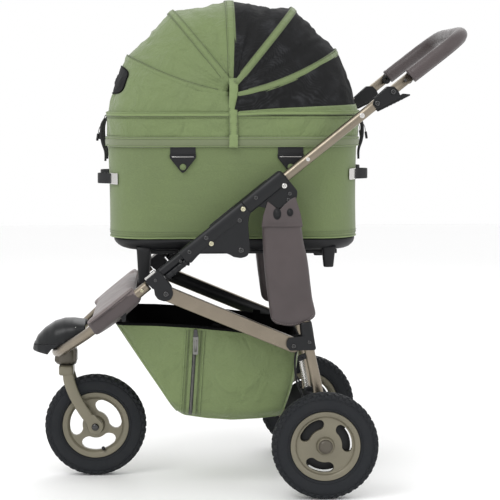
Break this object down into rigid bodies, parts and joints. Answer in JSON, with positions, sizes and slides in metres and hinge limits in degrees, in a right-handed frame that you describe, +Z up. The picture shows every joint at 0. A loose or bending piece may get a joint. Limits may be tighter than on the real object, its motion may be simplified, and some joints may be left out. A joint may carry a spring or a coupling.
{
  "type": "pet stroller",
  "caption": "Folding tube-frame pet stroller with air tyres, a lift-off fabric cot, a hood that opens from both ends, a rear basket and a padded push handle.",
  "frame": {"origin": "on the ground under the centre of the bounding box", "axes": "+Z up; the front wheel is towards -X and the handle towards +X; +Y is across, along the wheel axles"},
  "size_m": [0.9861, 0.557, 1.0976],
  "materials": {
    "champagne_metal": "satin anodised",
    "black_plastic": "fine moulded grain",
    "leather": "stitched synthetic leather",
    "green_fabric": "woven melange",
    "mesh_fabric": "fine knitted mesh",
    "tyre_rubber": "matte rubber",
    "rim_paint": "satin painted",
    "steel": "plated"
  },
  "bodies": {
    "chassis": {"front_frame_tube": "champagne_metal", "front_pad": "leather", "front_fender": "black_plastic", "steering_head": "black_plastic", "cot_platform": "black_plastic", "clevis_bracket_left": "black_plastic", "clevis_bracket_right": "black_plastic", "lower_casting_left": "black_plastic", "lower_casting_right": "black_plastic", "gusset_plate_left": "black_plastic", "gusset_plate_right": "black_plastic", "fold_pin_left": "steel", "fold_pin_right": "steel"},
    "upper_frame": {"upper_casting_left": "black_plastic", "upper_casting_right": "black_plastic", "handle_bolt_left": "steel", "handle_bolt_right": "steel", "leg_pin_left": "steel", "leg_pin_right": "steel"},
    "handle": {"handle_grip": "leather", "handle_tube_left": "champagne_metal", "handle_tube_right": "champagne_metal", "lever_housing_left": "black_plastic", "lever_housing_right": "black_plastic"},
    "lever_left": {"fold_lever_left": "black_plastic"},
    "lever_right": {"fold_lever_right": "black_plastic"},
    "rear_legs": {"rear_axle": "black_plastic", "brake_cable": "black_plastic", "rear_leg_left": "champagne_metal", "rear_leg_right": "champagne_metal", "leg_cover_left": "leather", "leg_cover_right": "leather", "leg_spring_left": "steel", "leg_spring_right": "steel"},
    "brake": {"brake_pedal": "black_plastic"},
    "rear_wheel_left": {"rear_tyre_left": "tyre_rubber", "rear_rim_left": "rim_paint"},
    "rear_wheel_right": {"rear_tyre_right": "tyre_rubber", "rear_rim_right": "rim_paint"},
    "fork": {"fork": "rim_paint"},
    "front_wheel": {"front_tyre": "tyre_rubber", "front_rim": "rim_paint"},
    "lower_links": {"basket": "green_fabric", "lower_link_left": "champagne_metal", "lower_link_right": "champagne_metal"},
    "cot": {"cot_walls": "green_fabric", "cot_tray": "black_plastic", "hood_bow_centre": "black_plastic", "hood_front_panel_2": "green_fabric", "hood_rear_mesh_1": "mesh_fabric"},
    "hood_front_2": {"hood_bow_front_2": "black_plastic", "hood_front_panel_1": "green_fabric"},
    "hood_front_1": {"hood_bow_front_1": "black_plastic", "hood_front_skirt": "green_fabric"},
    "hood_rear_3": {"hood_bow_rear_3": "black_plastic", "hood_rear_mesh_2": "mesh_fabric"},
    "hood_rear_4": {"hood_bow_rear_4": "black_plastic", "hood_rear_skirt": "mesh_fabric"}
  },
  "joints": [
    {"name": "frame_fold", "type": "hinge", "parent": "chassis", "child": "upper_frame", "pos_m": [-0.022, 0, 0.5456], "axis": [0, -1, 0], "range_deg": [0, 45]},
    {"name": "handle_fold", "type": "hinge", "parent": "upper_frame", "child": "handle", "pos_m": [0.0725, 0, 0.6863], "axis": [0, -1, 0], "range_deg": [0, 99.1]},
    {"name": "leg_fold", "type": "hinge", "parent": "upper_frame", "child": "rear_legs", "pos_m": [0.082, 0, 0.655], "axis": [0, 1, 0], "range_deg": [0, 21.5], "deforming": ["leg_cover_left", "leg_cover_right"]},
    {"name": "link_fold", "type": "hinge", "parent": "chassis", "child": "lower_links", "pos_m": [-0.1866, 0, 0.4493], "axis": [0, -1, 0], "range_deg": [0, 15.1]},
    {"name": "left_lever", "type": "hinge", "parent": "handle", "child": "lever_left", "pos_m": [0.292, -0.196, 0.845], "axis": [0, -1, 0], "range_deg": [0, 9], "stiffness_Nm_per_rad": 0.6, "springref_deg": -5.73},
    {"name": "right_lever", "type": "hinge", "parent": "handle", "child": "lever_right", "pos_m": [0.292, 0.196, 0.845], "axis": [0, -1, 0], "range_deg": [0, 9], "stiffness_Nm_per_rad": 0.6, "springref_deg": -5.73},
    {"name": "brake_pedal", "type": "hinge", "parent": "rear_legs", "child": "brake", "pos_m": [0.1606, 0, 0.118], "axis": [0, 1, 0], "range_deg": [0, 18]},
    {"name": "rear_wheel_left_spin", "type": "hinge", "parent": "rear_legs", "child": "rear_wheel_left", "pos_m": [0.1606, -0.256, 0.118], "axis": [0, 1, 0], "continuous": true},
    {"name": "rear_wheel_right_spin", "type": "hinge", "parent": "rear_legs", "child": "rear_wheel_right", "pos_m": [0.1606, 0.256, 0.118], "axis": [0, 1, 0], "continuous": true},
    {"name": "fork_swivel", "type": "hinge", "parent": "chassis", "child": "fork", "pos_m": [-0.418, 0, 0.25], "axis": [0, 0, 1], "continuous": true},
    {"name": "front_wheel_spin", "type": "hinge", "parent": "fork", "child": "front_wheel", "pos_m": [-0.3517, 0, 0.118], "axis": [0, 1, 0], "continuous": true},
    {"name": "cot_lift", "type": "slide", "parent": "chassis", "child": "cot", "axis": [0, 0, 1], "range_m": [0, 0.15]},
    {"name": "hood_front_open", "type": "hinge", "parent": "cot", "child": "hood_front_2", "pos_m": [-0.037, 0, 0.894], "axis": [0, 1, 0], "range_deg": [0, 31], "deforming": ["hood_front_panel_2"]},
    {"name": "hood_front_fan", "type": "hinge", "parent": "hood_front_2", "child": "hood_front_1", "pos_m": [-0.037, 0, 0.894], "axis": [0, 1, 0], "range_deg": [0, 31], "deforming": ["hood_front_panel_1"]},
    {"name": "hood_rear_open", "type": "hinge", "parent": "cot", "child": "hood_rear_3", "pos_m": [-0.037, 0, 0.894], "axis": [0, -1, 0], "range_deg": [0, 31], "deforming": ["hood_rear_mesh_1"]},
    {"name": "hood_rear_fan", "type": "hinge", "parent": "hood_rear_3", "child": "hood_rear_4", "pos_m": [-0.037, 0, 0.894], "axis": [0, -1, 0], "range_deg": [0, 31], "deforming": ["hood_rear_mesh_2"]}
  ],
  "couplings": [
    {"joint": "handle_fold", "follows": "frame_fold", "ratio": 2.2},
    {"joint": "leg_fold", "follows": "frame_fold", "ratio": 0.4775},
    {"joint": "link_fold", "follows": "frame_fold", "ratio": 0.335},
    {"joint": "hood_front_fan", "follows": "hood_front_open", "ratio": 1},
    {"joint": "hood_rear_fan", "follows": "hood_rear_open", "ratio": 1}
  ]
}
